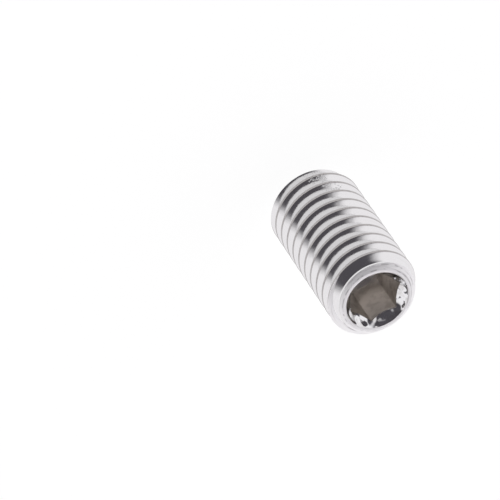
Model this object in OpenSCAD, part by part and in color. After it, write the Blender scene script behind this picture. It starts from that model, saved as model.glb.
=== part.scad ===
// Hex socket set screw with a cup point, all in one piece.
// The screw stands on the rim of its cup at z = 0, with its axis on Z and its socket at the top.
// The thread is a right-hand helix. All lengths are in millimetres.

/* [Screw] */
// Length from the rim of the cup to the socket face
screw_len = 12; // [8:0.5:20]
// Nominal diameter of the thread
thread_d = 6; // [5:0.25:8]
// Distance from one thread crest to the next
pitch = 1; // [0.7:0.05:1.25]
// How far the crests lie inside the nominal diameter
crest_allowance = 0.08; // [0.02:0.01:0.2]
// Angle about Z at which the middle of the first groove crosses z = 0
thread_start = 64; // [0:1:359]
// Width and height of the chamfer on the outer edge of the socket face
head_chamfer = 0.73; // [0.1:0.01:1]
// Least width kept of the flat ring between that chamfer and the socket's mouth
least_land = 0.1; // [0.05:0.05:0.2]

/* [Socket] */
// Width across the flats of the key that fits the socket
key_af = 3; // [2:0.1:3.6]
// Room between the key and the socket, across the flats
key_clearance = 0.03; // [0.01:0.01:0.08]
// Depth of the six flats below the socket face
socket_depth = 3.5; // [2:0.25:5]
// Width of the step left round the drilled cone at the bottom of the socket
drill_step = 0.1; // [0.05:0.05:0.3]
// Angle of that drilled cone
drill_angle = 120; // [90:5:140]
// Width of the countersink outside the corners of the socket
mouth_margin = 0.25; // [0.1:0.05:0.5]
// Angle of the countersink
mouth_angle = 90; // [60:5:140]

/* [Cup point] */
// Diameter of the mouth of the cup
cup_d = 3; // [1.5:0.25:3.75]
// Width of the flat rim round the cup
rim_w = 0.12; // [0.05:0.01:0.3]
// Angle of the hollow cone inside the cup
cup_angle = 90; // [90:5:140]
// Slope of the outside of the point, measured from the rim's plane
point_slope = 47; // [30:1:60]

/* [Facets] */
// Steps in one turn of the thread
turn_steps = 36; // [24:4:48]
// Steps across the rounded root of the thread
root_steps = 3; // [2:1:4]

/* [Hidden] */

// Smoothness of the turned surfaces
$fn = 96;
// How far a cutter runs past the face that it opens
overrun = 0.5;

// Form of the thread: a V of sixty degrees with a flat crest and a rounded root
flank_angle = 30;
v_depth = pitch / 2 / tan(flank_angle);
crest_r = (thread_d - crest_allowance) / 2;
crest_flat = pitch / 8 + crest_allowance * tan(flank_angle);
root_round = v_depth / 6;
root_centre_r = thread_d / 2 - v_depth * 13 / 24;

// The thread starts a turn below z = 0 and ends above the socket face, to be cut to length
turns_below = 1;
turns_above = 1.2;
last_step = ceil((screw_len / pitch + turns_below + turns_above) * turn_steps);
last_whole_step = last_step - turn_steps;

// Sizes of the socket and its mouth
socket_af = key_af + key_clearance;
corner_r = socket_af / 2 / cos(30);
mouth_r = corner_r + mouth_margin;
drill_r = socket_af / 2 - drill_step;

// Radii of the two end faces
head_r = max(crest_r - head_chamfer, mouth_r + least_land);
rim_r = cup_d / 2 + rim_w;

// Half a turned or drilled cone's angle gives the rise for each millimetre of radius
function cone_rise(angle) = 1 / tan(angle / 2);

// One pitch of the thread as [radius, height], from the foot of one flank to the next crest's far edge
thread_profile = concat(
    [for (i = [0 : root_steps])
        let (a = (2 * i / root_steps - 1) * (90 - flank_angle))
        [root_centre_r - root_round * cos(a), root_round * sin(a)]],
    [for (side = [-1, 1]) [crest_r, (pitch + side * crest_flat) / 2]]
);
corners = len(thread_profile);

// A corner of the profile, carried a number of steps along the helix
function helix_point(step, corner) =
    let (turn = step / turn_steps, a = thread_start + 360 * turn, p = thread_profile[corner])
    [p[0] * cos(a), p[0] * sin(a), p[1] + (turn - turns_below) * pitch];

// Places in the list of points: past the last corner, the profile goes on a turn later
function place(step, corner) =
    corner == corners ? place(step + turn_steps, 0)
    : step <= last_whole_step ? step * corners + corner
    : (last_whole_step + 1) * corners + step - last_whole_step - 1;

// Threaded rod, longer than the screw at both ends
module thread() {
    points = concat(
        [for (step = [0 : last_whole_step]) for (corner = [0 : corners - 1]) helix_point(step, corner)],
        [for (step = [last_whole_step + 1 : last_step]) helix_point(step, 0)],
        [[0, 0, helix_point(0, 0)[2]], [0, 0, helix_point(last_step, 0)[2]]]
    );
    low_centre = len(points) - 2;
    high_centre = len(points) - 1;
    sides = [
        for (step = [0 : last_whole_step - 1]) for (corner = [0 : corners - 1])
            let (a = place(step, corner), b = place(step + 1, corner))
            let (c = place(step + 1, corner + 1), d = place(step, corner + 1))
            for (face = [[a, c, b], [a, d, c]]) face
    ];
    low_end = concat(
        [for (step = [0 : turn_steps - 1]) [low_centre, place(step, 0), place(step + 1, 0)]],
        [for (corner = [0 : corners - 1]) [low_centre, place(0, corner + 1), place(0, corner)]]
    );
    high_end = concat(
        [for (step = [last_whole_step : last_step - 1]) [high_centre, place(step + 1, 0), place(step, 0)]],
        [for (corner = [0 : corners - 1])
            [high_centre, place(last_whole_step, corner), place(last_whole_step, corner + 1)]]
    );
    polyhedron(points = points, faces = concat(sides, low_end, high_end), convexity = 10);
}

// Turned outside of the screw: the sloping point, clear of the crests, and the chamfered socket end
module blank() {
    clear_r = crest_r + overrun;
    rotate_extrude()
        polygon([
            [0, 0],
            [rim_r, 0],
            [clear_r, (clear_r - rim_r) * tan(point_slope)],
            [clear_r, screw_len - (clear_r - head_r)],
            [head_r, screw_len],
            [0, screw_len]
        ]);
}

// Hollow cone in the point, which bites into the shaft
module cup() {
    wide_r = cup_d / 2 + overrun;
    translate([0, 0, (cup_d / 2 - wide_r) * cone_rise(cup_angle)])
        cylinder(h = wide_r * cone_rise(cup_angle), r1 = wide_r, r2 = 0);
}

// Six flats for the key, with the drilled cone below them
module socket() {
    floor_z = screw_len - socket_depth;
    translate([0, 0, floor_z])
        cylinder(h = socket_depth + overrun, r = corner_r, $fn = 6);
    // The drill runs up into the flats, so that the two never only touch
    rotate_extrude()
        polygon([
            [0, floor_z - drill_r * cone_rise(drill_angle)],
            [drill_r, floor_z],
            [drill_r, floor_z + overrun],
            [0, floor_z + overrun],
        ]);
}

// Countersink that leads the key into the socket
module mouth() {
    wide_r = mouth_r + overrun;
    translate([0, 0, screw_len - mouth_r * cone_rise(mouth_angle)])
        cylinder(h = wide_r * cone_rise(mouth_angle), r1 = 0, r2 = wide_r);
}

module set_screw() {
    color([0.78, 0.78, 0.8])
        difference() {
            intersection() {
                thread();
                blank();
            }
            socket();
            mouth();
            cup();
        }
}

set_screw();
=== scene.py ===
"""Looks of the hex socket set screw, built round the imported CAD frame.

One rolled, turned and broached steel screw replaces the plain CAD node. It stands on the rim of its cup
point, socket up, on a white floor in a pale tent that is open in front to a dark room.
"""

from __future__ import annotations

import logging
import math
from dataclasses import dataclass
from enum import Enum

import bmesh
import bpy
from mathutils import Matrix, Vector


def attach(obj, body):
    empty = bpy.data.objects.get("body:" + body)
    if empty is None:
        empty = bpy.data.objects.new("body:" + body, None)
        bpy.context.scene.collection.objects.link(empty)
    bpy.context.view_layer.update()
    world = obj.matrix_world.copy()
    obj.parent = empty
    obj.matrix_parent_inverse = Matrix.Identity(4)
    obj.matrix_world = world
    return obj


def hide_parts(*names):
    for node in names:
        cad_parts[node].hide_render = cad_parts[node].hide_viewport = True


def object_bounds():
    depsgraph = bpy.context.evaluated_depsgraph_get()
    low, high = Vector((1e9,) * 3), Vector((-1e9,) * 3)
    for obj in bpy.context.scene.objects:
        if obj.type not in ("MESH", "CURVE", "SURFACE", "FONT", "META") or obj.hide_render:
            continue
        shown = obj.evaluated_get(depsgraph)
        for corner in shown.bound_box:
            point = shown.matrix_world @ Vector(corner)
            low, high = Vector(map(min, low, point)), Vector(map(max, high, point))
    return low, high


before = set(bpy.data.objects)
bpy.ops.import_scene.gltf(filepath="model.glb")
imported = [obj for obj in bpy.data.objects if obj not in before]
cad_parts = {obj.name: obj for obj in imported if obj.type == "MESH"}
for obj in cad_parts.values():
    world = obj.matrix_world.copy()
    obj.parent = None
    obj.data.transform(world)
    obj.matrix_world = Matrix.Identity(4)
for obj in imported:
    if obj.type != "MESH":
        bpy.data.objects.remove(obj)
cad_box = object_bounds()

LOG = logging.getLogger("set_screw")
MM = 0.001
Z_AXIS = Vector((0.0, 0.0, 1.0))


class Cut(Enum):
    """How one solid works on another."""

    KEEP_INSIDE = "INTERSECT"
    TAKE_AWAY = "DIFFERENCE"


# ---------------------------------------------------------------------------------------------------
# Shader maths
# ---------------------------------------------------------------------------------------------------


class Socket:
    """One output socket of a node tree, so that shader maths reads as plain expressions."""

    def __init__(self, tree: bpy.types.NodeTree, output: bpy.types.NodeSocket) -> None:
        """Keep the tree and the output.

        Args:
            tree: the node tree that the output belongs to.
            output: the output socket.
        """
        self.tree = tree
        self.output = output

    def _math(self, operation: str, *values: Socket | float) -> Socket:
        """Add a Math node.

        Args:
            operation: the node's operation, such as "ADD".
            values: its inputs, in order.

        Returns:
            The node's value.
        """
        return node(self.tree, "ShaderNodeMath", {"operation": operation}, dict(enumerate(values)))

    def __add__(self, other: Socket | float) -> Socket:
        """self + other."""
        return self._math("ADD", self, other)

    def __radd__(self, other: float) -> Socket:
        """other + self."""
        return self._math("ADD", other, self)

    def __sub__(self, other: Socket | float) -> Socket:
        """self - other."""
        return self._math("SUBTRACT", self, other)

    def __rsub__(self, other: float) -> Socket:
        """other - self."""
        return self._math("SUBTRACT", other, self)

    def __mul__(self, other: Socket | float) -> Socket:
        """self * other."""
        return self._math("MULTIPLY", self, other)

    def __rmul__(self, other: float) -> Socket:
        """other * self."""
        return self._math("MULTIPLY", other, self)

    def __neg__(self) -> Socket:
        """-self."""
        return self._math("MULTIPLY", self, -1.0)

    def __abs__(self) -> Socket:
        """abs(self)."""
        return self._math("ABSOLUTE", self)

    def sqrt(self) -> Socket:
        """Square root of self."""
        return self._math("SQRT", self)

    def arcsine(self) -> Socket:
        """The angle in degrees whose sine is self."""
        return self._math("ARCSINE", self) * math.degrees(1.0)

    def bearing_from(self, ahead: Socket) -> Socket:
        """The angle in degrees of a point that lies self to one side and so far ahead."""
        return self._math("ARCTAN2", self, ahead) * math.degrees(1.0)

    def least(self, other: Socket | float) -> Socket:
        """The smaller of self and other."""
        return self._math("MINIMUM", self, other)

    def most(self, other: Socket | float) -> Socket:
        """The larger of self and other."""
        return self._math("MAXIMUM", self, other)

    def rise(self, start: float, end: float) -> Socket:
        """A smooth step that is 0 at start and 1 at end, which may be the lower of the two."""
        settings = {"interpolation_type": "SMOOTHSTEP", "clamp": True}
        inputs = {"Value": self, "From Min": start, "From Max": end}
        return node(self.tree, "ShaderNodeMapRange", settings, inputs)

    def bump_at(self, centre: float, half_width: float, softness: float) -> Socket:
        """A smooth mask that is 1 within half_width of centre and 0 beyond the softness outside it."""
        return abs(self - centre).rise(half_width + softness, half_width)


def node(
    tree: bpy.types.NodeTree,
    kind: str,
    settings: dict[str, object] | None = None,
    inputs: dict[str | int, object] | None = None,
    output: str | int | None = 0,
) -> Socket:
    """Add a node of any type.

    Args:
        tree: the node tree.
        kind: the node's type name.
        settings: its own settings, which are set first.
        inputs: values or links for its sockets, by name or number.
        output: the output to hand back, by name or number, or None for a node without one.

    Returns:
        That output, ready for shader maths.
    """
    made = tree.nodes.new(kind)
    for key, value in (settings or {}).items():
        setattr(made, key, value)
    for key, value in (inputs or {}).items():
        if isinstance(value, Socket):
            tree.links.new(value.output, made.inputs[key])
        else:
            made.inputs[key].default_value = value
    return Socket(tree, None if output is None else made.outputs[output])


# ---------------------------------------------------------------------------------------------------
# Mesh helpers
# ---------------------------------------------------------------------------------------------------


def all_of(mesh: bmesh.types.BMesh) -> list[bmesh.types.BMElem]:
    """Every vertex, edge and face of a mesh in the making."""
    return [*mesh.verts, *mesh.edges, *mesh.faces]


def chain(mesh: bmesh.types.BMesh, points: list[tuple[float, float]]) -> list[bmesh.types.BMVert]:
    """Draw a half section as a chain of edges.

    Args:
        mesh: the mesh to draw in.
        points: (radius, height) of each corner, in metres.

    Returns:
        The corners' vertices, in order.
    """
    corners = [mesh.verts.new((radius, 0.0, height)) for radius, height in points]
    for pair in zip(corners, corners[1:]):
        mesh.edges.new(pair)
    return corners


def round_corners(
    mesh: bmesh.types.BMesh, corners: list[bmesh.types.BMVert], offset: float, segments: int
) -> None:
    """Round some corners of a half section.

    Args:
        mesh: the mesh that holds it.
        corners: the corners to round.
        offset: how far along each neighbouring edge the curve starts.
        segments: the steps of the curve.
    """
    bmesh.ops.bevel(
        mesh,
        geom=corners,
        offset=offset,
        offset_type="OFFSET",
        affect="VERTICES",
        segments=segments,
        profile=0.5,
        material=-1,
    )


def lathe(mesh: bmesh.types.BMesh, steps: int) -> None:
    """Turn a half section right round Z into a closed solid.

    Args:
        mesh: the mesh that holds the half section.
        steps: the number of steps round the axis.
    """
    bmesh.ops.spin(
        mesh, geom=all_of(mesh), cent=(0, 0, 0), axis=Z_AXIS, angle=math.tau, steps=steps, use_merge=True
    )
    bmesh.ops.remove_doubles(mesh, verts=mesh.verts, dist=0.001 * MM)
    bmesh.ops.recalc_face_normals(mesh, faces=mesh.faces)


def to_object(mesh: bmesh.types.BMesh, name: str) -> bpy.types.Object:
    """Turn a finished mesh into an object at the origin.

    Args:
        mesh: the mesh, which is freed.
        name: the object's name.

    Returns:
        The new object, linked to the scene.
    """
    data = bpy.data.meshes.new(name)
    mesh.to_mesh(data)
    mesh.free()
    made = bpy.data.objects.new(name, data)
    bpy.context.scene.collection.objects.link(made)
    return made


def carve(body: bpy.types.Object, tool: bpy.types.Object, how: Cut) -> None:
    """Work one solid on another and use the tool up.

    Args:
        body: the solid that stays.
        tool: the solid that shapes it, which is deleted.
        how: whether the tool's inside is kept or taken away.
    """
    modifier = body.modifiers.new(how.name, "BOOLEAN")
    modifier.operation = how.value
    modifier.solver = "EXACT"
    modifier.object = tool
    bpy.context.view_layer.update()
    old = body.data
    body.data = bpy.data.meshes.new_from_object(body.evaluated_get(bpy.context.evaluated_depsgraph_get()))
    body.modifiers.clear()
    spent = tool.data
    bpy.data.objects.remove(tool)
    for data in (old, spent):
        bpy.data.meshes.remove(data)


# ---------------------------------------------------------------------------------------------------
# The screw
# ---------------------------------------------------------------------------------------------------


@dataclass
class Thread:
    """Rolled right-hand thread, swept as a rod that is longer than the screw at both ends."""

    length: float
    crest_radius: float
    nominal_radius: float = 3.0 * MM
    pitch: float = 1.0 * MM
    flank_angle: float = math.radians(28.5)
    root_depth: float = 0.6134 * MM
    start_angle: float = math.radians(54.0)
    crest_rounding: float = 0.035 * MM
    seam_depth: float = 0.012 * MM
    steps_per_turn: int = 144
    flank_steps: int = 4
    spare: float = 0.3 * MM

    @property
    def sharp_radius(self) -> float:
        """Radius at which the two flanks of a groove would meet."""
        return self.nominal_radius - self.pitch * 7 / 16 / math.tan(self.flank_angle)

    @property
    def root_radius(self) -> float:
        """Radius of the bottom of the rounded groove."""
        return self.nominal_radius - self.root_depth

    @property
    def crest_flat(self) -> float:
        """Height of the flat on the crest."""
        allowance = self.nominal_radius - self.crest_radius
        return self.pitch / 8 + 2 * allowance * math.tan(self.flank_angle)

    def _section(self, mesh: bmesh.types.BMesh) -> None:
        """Draw one pitch, from the middle of a crest to the middle of the next.

        Args:
            mesh: the mesh to draw in.
        """
        half_flat = self.crest_flat / 2
        seam = self.crest_radius - self.seam_depth
        corners = chain(
            mesh,
            [
                (seam, 0.0),
                (self.crest_radius, half_flat),
                (self.sharp_radius, self.pitch / 2),
                (self.crest_radius, self.pitch - half_flat),
                (seam, self.pitch),
            ],
        )
        arc_share = 2 - math.sqrt(2)
        root_offset = (self.root_radius - self.sharp_radius) / arc_share / math.cos(self.flank_angle)
        round_corners(mesh, [corners[2]], root_offset, segments=8)
        round_corners(mesh, [corners[1], corners[3]], self.crest_rounding, segments=5)
        flanks = [edge for edge in mesh.edges if edge.calc_length() > self.pitch / 4]
        bmesh.ops.subdivide_edges(mesh, edges=flanks, cuts=self.flank_steps - 1)

    def build(self) -> bpy.types.Object:
        """Sweep the section up the helix.

        Returns:
            The closed rod.
        """
        mesh = bmesh.new()
        self._section(mesh)
        start = Matrix.Rotation(self.start_angle, 3, "Z")
        below = (0.0, 0.0, -1.5 * self.pitch)
        bmesh.ops.rotate(mesh, verts=mesh.verts, cent=(0, 0, 0), matrix=start)
        bmesh.ops.translate(mesh, verts=mesh.verts, vec=below)
        bmesh.ops.spin(
            mesh,
            geom=all_of(mesh),
            cent=(0, 0, 0),
            axis=Z_AXIS,
            dvec=(0, 0, self.pitch / self.steps_per_turn),
            angle=math.tau,
            steps=self.steps_per_turn,
        )
        first_turn = all_of(mesh)
        turns = math.ceil(self.length / self.pitch) + 2
        for turn in range(1, turns):
            copy = bmesh.ops.duplicate(mesh, geom=first_turn)["geom"]
            moved = [item for item in copy if isinstance(item, bmesh.types.BMVert)]
            bmesh.ops.translate(mesh, verts=moved, vec=(0, 0, turn * self.pitch))
        bmesh.ops.remove_doubles(mesh, verts=mesh.verts, dist=0.002 * MM)
        for height, side in ((-self.spare, -1), (self.length + self.spare, 1)):
            cut = bmesh.ops.bisect_plane(
                mesh, geom=all_of(mesh), plane_co=(0, 0, height), plane_no=(0, 0, side), clear_outer=True
            )["geom_cut"]
            rim = [item for item in cut if isinstance(item, bmesh.types.BMEdge)]
            bmesh.ops.edgeloop_fill(mesh, edges=rim)
        bmesh.ops.recalc_face_normals(mesh, faces=mesh.faces)
        return to_object(mesh, "threaded_rod")


@dataclass
class TurnedBlank:
    """Turned form of the screw: the cup point, the chamfered socket face and the countersink."""

    length: float
    crest_radius: float
    head_chamfer: float = 0.73 * MM
    mouth_radius: float = 2.02 * MM
    mouth_angle: float = math.radians(90.0)
    lip_depth: float = 0.12 * MM
    lip_lean: float = 0.07 * MM
    cup_radius: float = 1.5 * MM
    cup_angle: float = math.radians(90.0)
    rim_width: float = 0.12 * MM
    point_slope: float = math.radians(47.0)
    face_rounding: float = 0.05 * MM
    lip_rounding: float = 0.02 * MM
    rim_rounding: float = 0.02 * MM
    clearance: float = 0.3 * MM
    steps: int = 192

    def build(self) -> bpy.types.Object:
        """Turn the blank.

        Returns:
            The closed blank, clear of the crests between its ends.
        """
        clear = self.crest_radius + self.clearance
        rim = self.cup_radius + self.rim_width
        head = self.crest_radius - self.head_chamfer
        lip = self.mouth_radius - self.lip_lean
        mesh = bmesh.new()
        corners = chain(
            mesh,
            [
                (0.0, self.cup_radius / math.tan(self.cup_angle / 2)),
                (self.cup_radius, 0.0),
                (rim, 0.0),
                (clear, (clear - rim) * math.tan(self.point_slope)),
                (clear, self.length - (clear - head)),
                (head, self.length),
                (self.mouth_radius, self.length),
                (lip, self.length - self.lip_depth),
                (0.0, self.length - self.lip_depth - lip / math.tan(self.mouth_angle / 2)),
            ],
        )
        round_corners(mesh, [corners[5]], self.face_rounding, segments=4)
        round_corners(mesh, [corners[6]], self.lip_rounding, segments=3)
        round_corners(mesh, corners[1:3], self.rim_rounding, segments=3)
        lathe(mesh, self.steps)
        return to_object(mesh, "turned_blank")


@dataclass
class HexSocket:
    """Broached socket for the key, with the drilled cone at its bottom."""

    face_height: float
    across_flats: float = 3.03 * MM
    depth: float = 3.5 * MM
    corner_rounding: float = 0.05 * MM
    drill_radius: float = 1.415 * MM
    drill_angle: float = math.radians(120.0)
    overrun: float = 0.5 * MM
    steps: int = 96

    @property
    def floor_height(self) -> float:
        """Height of the bottom of the six flats."""
        return self.face_height - self.depth

    def _broach(self) -> bpy.types.Object:
        """Make the six-sided cutter, with a corner on +X and its long edges rounded.

        Returns:
            The cutter.
        """
        radius = self.across_flats / 2 / math.cos(math.radians(30.0))
        reach = self.depth + self.overrun
        mesh = bmesh.new()
        bmesh.ops.create_cone(mesh, cap_ends=True, segments=6, radius1=radius, radius2=radius, depth=reach)
        quarter_turn = Matrix.Rotation(math.radians(90.0), 3, "Z")
        bmesh.ops.rotate(mesh, verts=mesh.verts, cent=(0, 0, 0), matrix=quarter_turn)
        bmesh.ops.translate(mesh, verts=mesh.verts, vec=(0, 0, self.floor_height + reach / 2))
        long_edges = [e for e in mesh.edges if abs(e.verts[0].co.z - e.verts[1].co.z) > reach / 2]
        bmesh.ops.bevel(
            mesh,
            geom=long_edges,
            offset=self.corner_rounding,
            offset_type="OFFSET",
            affect="EDGES",
            segments=3,
            profile=0.5,
            material=-1,
        )
        return to_object(mesh, "broach")

    def _drill(self) -> bpy.types.Object:
        """Make the tip of the drill, which reaches a little into the flats.

        Returns:
            The cutter.
        """
        tip = self.drill_radius / math.tan(self.drill_angle / 2)
        mesh = bmesh.new()
        chain(
            mesh,
            [
                (0.0, self.floor_height - tip),
                (self.drill_radius, self.floor_height),
                (self.drill_radius, self.floor_height + self.overrun),
                (0.0, self.floor_height + self.overrun),
            ],
        )
        lathe(mesh, self.steps)
        return to_object(mesh, "drill")

    def build(self) -> list[bpy.types.Object]:
        """Make both cutters.

        Returns:
            The broach and the drill.
        """
        return [self._broach(), self._drill()]


@dataclass
class SetScrew:
    """The whole screw, cut from its threaded rod."""

    length: float
    crest_radius: float
    smooth_limit: float = math.radians(24.0)

    def build(self) -> bpy.types.Object:
        """Cut the rod to the blank's form and open the socket.

        Returns:
            The finished screw.
        """
        screw = Thread(self.length, self.crest_radius).build()
        screw.name = "steel_set_screw"
        carve(screw, TurnedBlank(self.length, self.crest_radius).build(), Cut.KEEP_INSIDE)
        for cutter in HexSocket(self.length).build():
            carve(screw, cutter, Cut.TAKE_AWAY)
        self._smooth(screw)
        return screw

    def _smooth(self, screw: bpy.types.Object) -> None:
        """Shade the curved faces smooth and keep the true edges sharp.

        Args:
            screw: the cut screw.
        """
        mesh = bmesh.new()
        mesh.from_mesh(screw.data)
        for face in mesh.faces:
            face.smooth = True
        for edge in mesh.edges:
            edge.smooth = edge.calc_face_angle(math.pi) < self.smooth_limit
        mesh.to_mesh(screw.data)
        mesh.free()


# ---------------------------------------------------------------------------------------------------
# Finish
# ---------------------------------------------------------------------------------------------------

Colour = tuple[float, float, float]
Place = tuple[float, float, float]


@dataclass(frozen=True)
class Finish:
    """How one worked surface of the steel looks."""

    tint: Colour
    roughness: float


ROLLED = Finish((0.80, 0.795, 0.80), 0.12)
# Crest tint: partly the duller rolled crest, partly a painted dark reflection that darkens every crest line.
CREST_FINISH_AND_SHADE = Finish((0.42, 0.40, 0.40), 0.24)
TURNED = Finish((0.95, 0.94, 0.95), 0.72)
POLISHED = Finish((0.82, 0.82, 0.83), 0.10)
BROACHED = Finish((0.85, 0.815, 0.78), 0.38)

BROACH_DULL: Colour = (0.48, 0.455, 0.43)
TOOL_LINE: Colour = (0.42, 0.40, 0.41)
# Painted shade: dark rings at the edge of the socket face and at a step on its chamfer.
PAINTED_RING_SHADE: Colour = (0.25, 0.24, 0.25)
PIT: Colour = (0.18, 0.17, 0.17)
STREAK: Colour = (0.35, 0.33, 0.32)


@dataclass
class Steel:
    """Bright stainless steel with one finish for each way the screw was worked; the crests' darker tint is
    partly painted shade, and two dark rings round the socket face are painted shade.
    """

    length: float
    crest_radius: float
    face_radius: float
    mouth_radius: float
    scuffs: tuple[Place, ...] = (
        (-1.25 * MM, -2.52 * MM, 2.20 * MM),
        (-0.70 * MM, -2.75 * MM, 2.18 * MM),
        (-1.75 * MM, -2.15 * MM, 3.25 * MM),
        (-1.15 * MM, -2.55 * MM, 3.25 * MM),
    )
    scuff_radius: float = 0.42 * MM
    scuff_height: float = 0.032 * MM
    wave_height: float = 0.006 * MM
    forged_height: float = 0.12 * MM
    line_height: float = 0.0009 * MM
    pit_depth: float = 0.003 * MM
    socket_reach: float = 4.6 * MM
    name: str = "bright_steel"

    def build(self) -> bpy.types.Material:
        """Make the material.

        Returns:
            The finished material.
        """
        material = bpy.data.materials.new(self.name)
        material.use_nodes = True
        tree = material.node_tree
        tree.nodes.clear()
        place = node(tree, "ShaderNodeTexCoord", output="Object")
        x, y, z = (node(tree, "ShaderNodeSeparateXYZ", inputs={0: place}, output=axis) for axis in "XYZ")
        radius = (x * x + y * y).sqrt()
        masks = self._masks(radius, z)
        streaks = self._streaks(tree, x, y, z, radius)
        specks = self._noise(tree, place, 11.0, 2.0).rise(0.04, 0.16)
        patches = self._noise(tree, place, 2.2, 3.0)
        colour = self._colour(tree, masks, radius, streaks, specks, patches)
        roughness = self._roughness(masks, streaks)
        height = self._height(tree, place, masks, streaks, specks)
        bump = node(tree, "ShaderNodeBump", inputs={"Strength": 1.0, "Distance": 1.0, "Height": height})
        shader = node(
            tree,
            "ShaderNodeBsdfPrincipled",
            inputs={"Base Color": colour, "Metallic": 1.0, "Roughness": roughness, "Normal": bump},
        )
        node(tree, "ShaderNodeOutputMaterial", inputs={"Surface": shader}, output=None)
        return material

    def _masks(self, radius: Socket, z: Socket) -> dict[Finish, Socket]:
        """Where each finish shows, in the order in which they lie over each other.

        Args:
            radius: the distance from the axis.
            z: the height.

        Returns:
            A mask for each finish but the first.
        """
        cone_top = self.length + self.face_radius
        chamfer = (z + radius).rise(cone_top - 0.03 * MM, cone_top - 0.01 * MM)
        face = z.rise(self.length - 0.02 * MM, self.length - 0.01 * MM)
        cone_start = self.length - self.mouth_radius - 0.12 * MM
        cone = (z - radius).rise(cone_start, cone_start + 0.04 * MM)
        inside = radius.rise(self.mouth_radius + 0.01 * MM, self.mouth_radius)
        deepest = self.length - self.socket_reach
        hollow = inside * z.rise(deepest - 0.2 * MM, deepest)
        return {
            # The crest mask carries the crests' tint, which is partly painted shade.
            CREST_FINISH_AND_SHADE: radius.rise(self.crest_radius - 0.04 * MM, self.crest_radius - 0.015 * MM),
            TURNED: chamfer.most(face),
            BROACHED: hollow,
            POLISHED: cone * inside,
        }

    def _streaks(self, tree: bpy.types.NodeTree, x: Socket, y: Socket, z: Socket, radius: Socket) -> Socket:
        """Fine lines that run round the axis, as rolling and turning leave them.

        Args:
            tree: the material's tree.
            x: the first coordinate.
            y: the second coordinate.
            z: the height.
            radius: the distance from the axis.

        Returns:
            A value about 0, between -1 and 1.
        """
        along = 0.35 / MM
        across = 9.0 / MM
        between = 1.5 / MM
        around = node(
            tree,
            "ShaderNodeCombineXYZ",
            inputs={0: x * along, 1: y * along, 2: radius * across + z * between},
        )
        noise = node(
            tree,
            "ShaderNodeTexNoise",
            inputs={"Vector": around, "Scale": 1.0, "Detail": 3.0, "Roughness": 0.6},
        )
        return (noise - 0.5) * 2.0

    def _noise(self, tree: bpy.types.NodeTree, place: Socket, per_millimetre: float, detail: float) -> Socket:
        """Noise about 0, between -0.5 and 0.5.

        Args:
            tree: the material's tree.
            place: the object coordinates.
            per_millimetre: how many lumps fit in a millimetre.
            detail: how many finer layers it has.

        Returns:
            The noise.
        """
        inputs = {"Vector": place, "Scale": per_millimetre / MM, "Detail": detail, "Roughness": 0.5}
        return node(tree, "ShaderNodeTexNoise", inputs=inputs) - 0.5

    def _scuff(self, tree: bpy.types.NodeTree, place: Socket) -> Socket:
        """Mask of the knocked places near the cup point.

        Args:
            tree: the material's tree.
            place: the object coordinates.

        Returns:
            1 in the middle of each place and 0 outside them.
        """
        nearest = None
        for centre in self.scuffs:
            inputs = {0: place, 1: centre}
            apart = node(tree, "ShaderNodeVectorMath", {"operation": "DISTANCE"}, inputs, output="Value")
            nearest = apart if nearest is None else nearest.least(apart)
        return nearest.rise(self.scuff_radius, self.scuff_radius * 0.4)

    def _height(
        self,
        tree: bpy.types.NodeTree,
        place: Socket,
        masks: dict[Finish, Socket],
        streaks: Socket,
        specks: Socket,
    ) -> Socket:
        """Small relief of the surface, in metres.

        Args:
            tree: the material's tree.
            place: the object coordinates.
            masks: where each finish shows.
            streaks: the lines round the axis.
            specks: the pits.

        Returns:
            The height.
        """
        waves = self._noise(tree, place, 1.6, 2.0) * self.wave_height
        knocks = self._noise(tree, place, 9.0, 1.0).rise(0.05, 0.17)
        dents = knocks * self._scuff(tree, place) * self.scuff_height
        forged = self._noise(tree, place, 2.3, 0.0) * masks[POLISHED] * self.forged_height
        lines = streaks * self.line_height
        pits = specks * masks[CREST_FINISH_AND_SHADE] * -self.pit_depth
        return waves + dents + forged + lines + pits

    def _colour(
        self,
        tree: bpy.types.NodeTree,
        masks: dict[Finish, Socket],
        radius: Socket,
        streaks: Socket,
        specks: Socket,
        patches: Socket,
    ) -> Socket:
        """Lay the tints over each other, the crests' partly painted shade among them, darken the marks and
        paint two shade rings round the socket face.

        Args:
            tree: the material's tree.
            masks: where each finish shows.
            radius: the distance from the axis.
            streaks: the lines round the axis.
            specks: the pits.
            patches: slow changes of the surface.

        Returns:
            The base colour.
        """
        colour = node(tree, "ShaderNodeRGB")
        colour.output.default_value = (*ROLLED.tint, 1.0)
        for finish, mask in masks.items():
            colour = mix(tree, mask, colour, finish.tint)
        dulled = masks[BROACHED] * patches.rise(-0.08, 0.16) * 0.4
        colour = mix(tree, dulled, colour, BROACH_DULL)
        turned_lines = masks[TURNED] * streaks.rise(0.05, 0.5) * 0.55
        colour = mix(tree, turned_lines, colour, TOOL_LINE)
        # Painted shade: a dark ring at the face's edge and one at a step on the chamfer, broken up by the
        # patches.
        for ring in (self.face_radius + 0.03 * MM, self.face_radius + 0.24 * MM):
            ring_shade = radius.bump_at(ring, 0.006 * MM, 0.04 * MM) * masks[TURNED] * patches.rise(-0.06, 0.1)
            colour = mix(tree, ring_shade * 0.4, colour, PAINTED_RING_SHADE)
        colour = mix(tree, specks * masks[CREST_FINISH_AND_SHADE] * 0.4, colour, PIT)
        return mix(tree, streaks.rise(0.0, 0.8) * 0.10, colour, STREAK)

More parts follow.
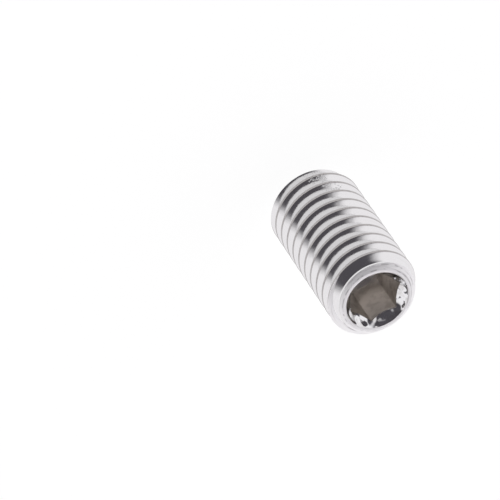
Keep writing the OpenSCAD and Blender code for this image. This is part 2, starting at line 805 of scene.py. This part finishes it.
    def _roughness(self, masks: dict[Finish, Socket], streaks: Socket) -> Socket:
        """Lay the roughnesses over each other.

        Args:
            masks: where each finish shows.
            streaks: the lines round the axis.

        Returns:
            The roughness.
        """
        roughness = masks[CREST_FINISH_AND_SHADE] * (CREST_FINISH_AND_SHADE.roughness - ROLLED.roughness) + ROLLED.roughness
        for finish in (TURNED, BROACHED, POLISHED):
            roughness = roughness + masks[finish] * (finish.roughness - roughness)
        return roughness + streaks * 0.04


def mix(
    tree: bpy.types.NodeTree, factor: Socket | float, first: Socket | Colour, second: Socket | Colour
) -> Socket:
    """Mix two colours.

    Args:
        tree: the node tree.
        factor: the share of the second.
        first: the colour at 0.
        second: the colour at 1.

    Returns:
        The mixed colour.
    """
    first, second = ((*c, 1.0) if isinstance(c, tuple) else c for c in (first, second))
    settings = {"data_type": "RGBA", "clamp_factor": True}
    return node(tree, "ShaderNodeMix", settings, {0: factor, 6: first, 7: second}, output=2)


# ---------------------------------------------------------------------------------------------------
# Studio
# ---------------------------------------------------------------------------------------------------


@dataclass
class Studio:
    """White floor in a pale tent that opens in front to a dark room. Every ray sees the same.

    The opening lies between two bearings round the screw, in a frame leaned back from upright, and starts
    a little above the floor. Each edge gives the degrees at which it begins and ends.
    """

    tent: Colour = (1.0, 0.985, 1.0)
    room: Colour = (0.085, 0.08, 0.09)
    lean: float = math.radians(17.0)
    left_edge: tuple[float, float] = (-70.0, -40.0)
    right_edge: tuple[float, float] = (70.0, 38.0)
    lower_edge: tuple[float, float] = (2.0, 12.0)
    floor_radius: float = 0.4
    floor_steps: int = 96
    paper: Colour = (0.9, 0.9, 0.9)
    glow_strength: float = 1.12
    glow_share: float = 0.8

    def build(self) -> None:
        """Make the surroundings and the floor."""
        self._world()
        self._floor()

    def _world(self) -> None:
        """Surround the screw with the tent and leave its opening dark, by bearing and elevation."""
        world = bpy.data.worlds.new("studio")
        bpy.context.scene.world = world
        world.use_nodes = True
        tree = world.node_tree
        tree.nodes.clear()
        direction = node(tree, "ShaderNodeTexCoord", output="Generated")
        x, y, z = (node(tree, "ShaderNodeSeparateXYZ", inputs={0: direction}, output=axis) for axis in "XYZ")
        ahead = z * math.sin(self.lean) - y * math.cos(self.lean)
        bearing = (-x).bearing_from(ahead)
        sides = bearing.rise(*self.left_edge) * bearing.rise(*self.right_edge)
        opening = sides * z.arcsine().rise(*self.lower_edge)
        colour = mix(tree, opening, self.tent, self.room)
        background = node(tree, "ShaderNodeBackground", inputs={"Color": colour, "Strength": 1.0})
        node(tree, "ShaderNodeOutputWorld", inputs={"Surface": background}, output=None)

    def _floor(self) -> bpy.types.Object:
        """Lay the floor that the screw stands on.

        Returns:
            The floor.
        """
        mesh = bmesh.new()
        bmesh.ops.create_circle(mesh, cap_ends=True, segments=self.floor_steps, radius=self.floor_radius)
        floor = to_object(mesh, "floor")
        material = bpy.data.materials.new("white_floor")
        material.use_nodes = True
        tree = material.node_tree
        tree.nodes.clear()
        glow_inputs = {"Color": (1.0, 1.0, 1.0, 1.0), "Strength": self.glow_strength}
        glow = node(tree, "ShaderNodeEmission", inputs=glow_inputs)
        paper = node(tree, "ShaderNodeBsdfDiffuse", inputs={"Color": (*self.paper, 1.0)})
        lit = node(tree, "ShaderNodeMixShader", inputs={0: self.glow_share, 1: paper, 2: glow})
        node(tree, "ShaderNodeOutputMaterial", inputs={"Surface": lit}, output=None)
        floor.data.materials.append(material)
        return floor


@dataclass
class Camera:
    """Long-lens camera that looks down at the socket, rolled as the screw is meant to appear."""

    centre: Vector
    azimuth: float = math.radians(4.295)
    elevation: float = math.radians(50.352)
    roll: float = math.radians(146.791)
    distance: float = 308.68 * MM
    aim_right: float = -5.647 * MM
    aim_up: float = -0.133 * MM
    lens: float = 360.0
    sensor: float = 36.0

    def build(self) -> bpy.types.Object:
        """Place the camera and make it the scene's own.

        Returns:
            The camera.
        """
        data = bpy.data.cameras.new("camera")
        data.lens = self.lens
        data.sensor_width = self.sensor
        data.clip_start = 1.0 * MM
        data.clip_end = 10.0
        made = bpy.data.objects.new("camera", data)
        bpy.context.scene.collection.objects.link(made)
        level = math.cos(self.elevation)
        forward = Vector(
            (-level * math.sin(self.azimuth), level * math.cos(self.azimuth), -math.sin(self.elevation))
        )
        upright = forward.to_track_quat("-Z", "Y").to_matrix()
        turned = upright @ Matrix.Rotation(self.roll, 3, "Z")
        right, up = turned.col[0], turned.col[1]
        aim = self.centre + right * self.aim_right + up * self.aim_up
        made.matrix_world = Matrix.Translation(aim - forward * self.distance) @ turned.to_4x4()
        bpy.context.scene.camera = made
        return made


# ---------------------------------------------------------------------------------------------------
# Scene
# ---------------------------------------------------------------------------------------------------


def main() -> None:
    """Build the screw, its steel, the studio and the camera."""
    logging.basicConfig(level=logging.INFO)
    bpy.context.scene.view_settings.view_transform = "Standard"
    low, high = (Vector(corner) for corner in cad_box)
    length = high.z - low.z
    crest_radius = (high.y - low.y) / 2
    LOG.info("length %.3f mm, crest radius %.3f mm", length / MM, crest_radius / MM)
    screw = SetScrew(length, crest_radius).build()
    screw.data.materials.clear()
    face_radius = crest_radius - TurnedBlank.head_chamfer
    screw.data.materials.append(Steel(length, crest_radius, face_radius, TurnedBlank.mouth_radius).build())
    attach(screw, "root")
    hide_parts("set_screw")
    Studio().build()
    Camera((low + high) / 2).build()


if __name__ == "__main__":
    main()
